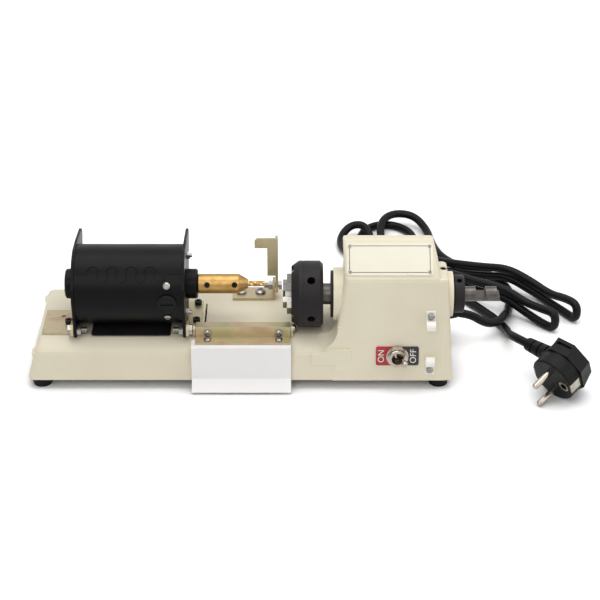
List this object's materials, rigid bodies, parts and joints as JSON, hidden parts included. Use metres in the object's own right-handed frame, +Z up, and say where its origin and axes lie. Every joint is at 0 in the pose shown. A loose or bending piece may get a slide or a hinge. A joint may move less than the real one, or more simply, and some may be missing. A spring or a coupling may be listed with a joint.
{
  "type": "key duplicating machine",
  "caption": "Bench machine that copies tubular keys: cast base, swinging motor with cutter, indexing spindle with a scroll chuck, hinged gauge and guard.",
  "frame": {"origin": "middle of the footprint of the machine without its cord, on the surface it stands on", "axes": "+X along the spindle from the motor to the spindle tail, +Y to the back, +Z up"},
  "size_m": [0.4298, 0.3012, 0.1101],
  "materials": {
    "casting_enamel": "cream enamel on a casting",
    "cover_steel": "painted sheet steel",
    "black_rubber": "moulded rubber",
    "bright_steel": "bright plated or ground steel",
    "zinc_plate": "yellow-passivated zinc plate",
    "black_oxide": "black oxide",
    "motor_paint": "satin black paint",
    "black_plastic": "moulded black plastic",
    "cord_rubber": "soft black cord sheath",
    "nickel": "nickel plate",
    "cutter_brass": "turned brass",
    "coated_cutter": "gold-coloured hard coating",
    "bronze": "bearing bronze and copper",
    "winding": "laminations and enamelled wire",
    "ferrite": "ferrite and carbon",
    "plate_aluminium": "satin aluminium plate",
    "switch_label": "enamelled switch plate, red half and black half",
    "white_nylon": "white nylon",
    "clear_sheet": "clear acrylic sheet"
  },
  "bodies": {
    "base": {"base_casting": "casting_enamel", "bottom_cover": "cover_steel", "rubber_feet": "black_rubber", "foot_screws": "bright_steel", "nameplate": "plate_aluminium", "nameplate_rivets": "bright_steel", "switch_plate": "switch_label", "switch_body": "black_plastic", "switch_nut": "nickel", "tool_clips": "white_nylon", "tool_clip_screws": "bright_steel", "spindle_bush": "bronze", "index_detent": "black_oxide", "motor_bracket_left": "zinc_plate", "motor_bracket_right": "zinc_plate", "motor_bracket_screws": "black_oxide", "motor_pivot_bolts": "bright_steel", "motor_pivot_nuts": "bright_steel", "motor_rest_buffer": "black_rubber", "gauge_bracket": "zinc_plate", "bracket_pan_screws": "bright_steel", "gauge_pivot_bolt": "bright_steel", "gauge_pivot_nut": "bright_steel", "guard_lugs": "zinc_plate", "strain_relief": "black_plastic", "power_cord": "cord_rubber", "mains_plug": "black_plastic", "plug_pins": "nickel"},
    "motor_head": {"motor_shell": "motor_paint", "motor_end_plate_left": "motor_paint", "motor_end_plate_right": "motor_paint", "motor_bearing_housings": "motor_paint", "motor_bearings": "bright_steel", "field_magnets": "ferrite", "motor_tie_screws": "bright_steel", "brush_caps": "black_plastic", "carbon_brushes": "ferrite", "brush_screws": "bright_steel"},
    "rotor": {"motor_shaft": "bright_steel", "armature": "winding", "commutator": "bronze", "cutter_holder": "cutter_brass", "holder_screws": "black_oxide", "end_mill": "coated_cutter"},
    "gauge": {"gauge_lever": "zinc_plate"},
    "guard": {"guard_bar": "zinc_plate", "guard_pivots": "bright_steel", "guard_angle": "zinc_plate", "guard_screws": "bright_steel", "guard_shield": "clear_sheet"},
    "switch_toggle": {"switch_lever": "nickel"},
    "indexer": {"index_sleeve": "black_oxide"},
    "spindle_slide": {"spindle": "bright_steel", "depth_collar": "black_oxide", "collar_screw": "black_oxide", "chuck_body": "black_oxide"},
    "scroll_ring": {"chuck_ring": "black_oxide"},
    "jaw_1": {"chuck_jaw_1": "bright_steel"},
    "jaw_2": {"chuck_jaw_2": "bright_steel"},
    "jaw_3": {"chuck_jaw_3": "bright_steel"}
  },
  "joints": [
    {"name": "motor_swing", "type": "hinge", "parent": "base", "child": "motor_head", "pos_m": [-0.0994, -0.029, 0.0443], "axis": [1, 0, 0], "range_deg": [0, 20]},
    {"name": "rotor_spin", "type": "hinge", "parent": "motor_head", "child": "rotor", "pos_m": [-0.0994, -0.005, 0.0705], "axis": [1, 0, 0], "continuous": true},
    {"name": "gauge_swing", "type": "hinge", "parent": "base", "child": "gauge", "pos_m": [0.0099, 0.029, 0.05], "axis": [1, 0, 0], "range_deg": [0, 45]},
    {"name": "guard_swing", "type": "hinge", "parent": "base", "child": "guard", "pos_m": [-0.0149, -0.0253, 0.0437], "axis": [-1, 0, 0], "range_deg": [0, 92]},
    {"name": "switch_throw", "type": "hinge", "parent": "base", "child": "switch_toggle", "pos_m": [0.1006, -0.04148, 0.02828], "axis": [0, -0.1483, -0.9889], "range_deg": [0, 34]},
    {"name": "index_turn", "type": "hinge", "parent": "base", "child": "indexer", "pos_m": [0, -0.012, 0.0657], "axis": [1, 0, 0], "continuous": true},
    {"name": "spindle_feed", "type": "slide", "parent": "indexer", "child": "spindle_slide", "axis": [1, 0, 0], "range_m": [0, 0.004]},
    {"name": "scroll_turn", "type": "hinge", "parent": "spindle_slide", "child": "scroll_ring", "pos_m": [0, -0.012, 0.0657], "axis": [1, 0, 0], "range_deg": [-180, 250]},
    {"name": "jaw_1_slide", "type": "slide", "parent": "spindle_slide", "child": "jaw_1", "axis": [0, 0, 1], "range_m": [-0.0018, 0.0025]},
    {"name": "jaw_2_slide", "type": "slide", "parent": "spindle_slide", "child": "jaw_2", "axis": [0, -0.866, -0.5], "range_m": [-0.0018, 0.0025]},
    {"name": "jaw_3_slide", "type": "slide", "parent": "spindle_slide", "child": "jaw_3", "axis": [0, 0.866, -0.5], "range_m": [-0.0018, 0.0025]}
  ],
  "couplings": [
    {"joint": "jaw_1_slide", "follows": "scroll_turn", "m_per_rad": 0.00055704},
    {"joint": "jaw_2_slide", "follows": "scroll_turn", "m_per_rad": 0.00055704},
    {"joint": "jaw_3_slide", "follows": "scroll_turn", "m_per_rad": 0.00055704}
  ]
}
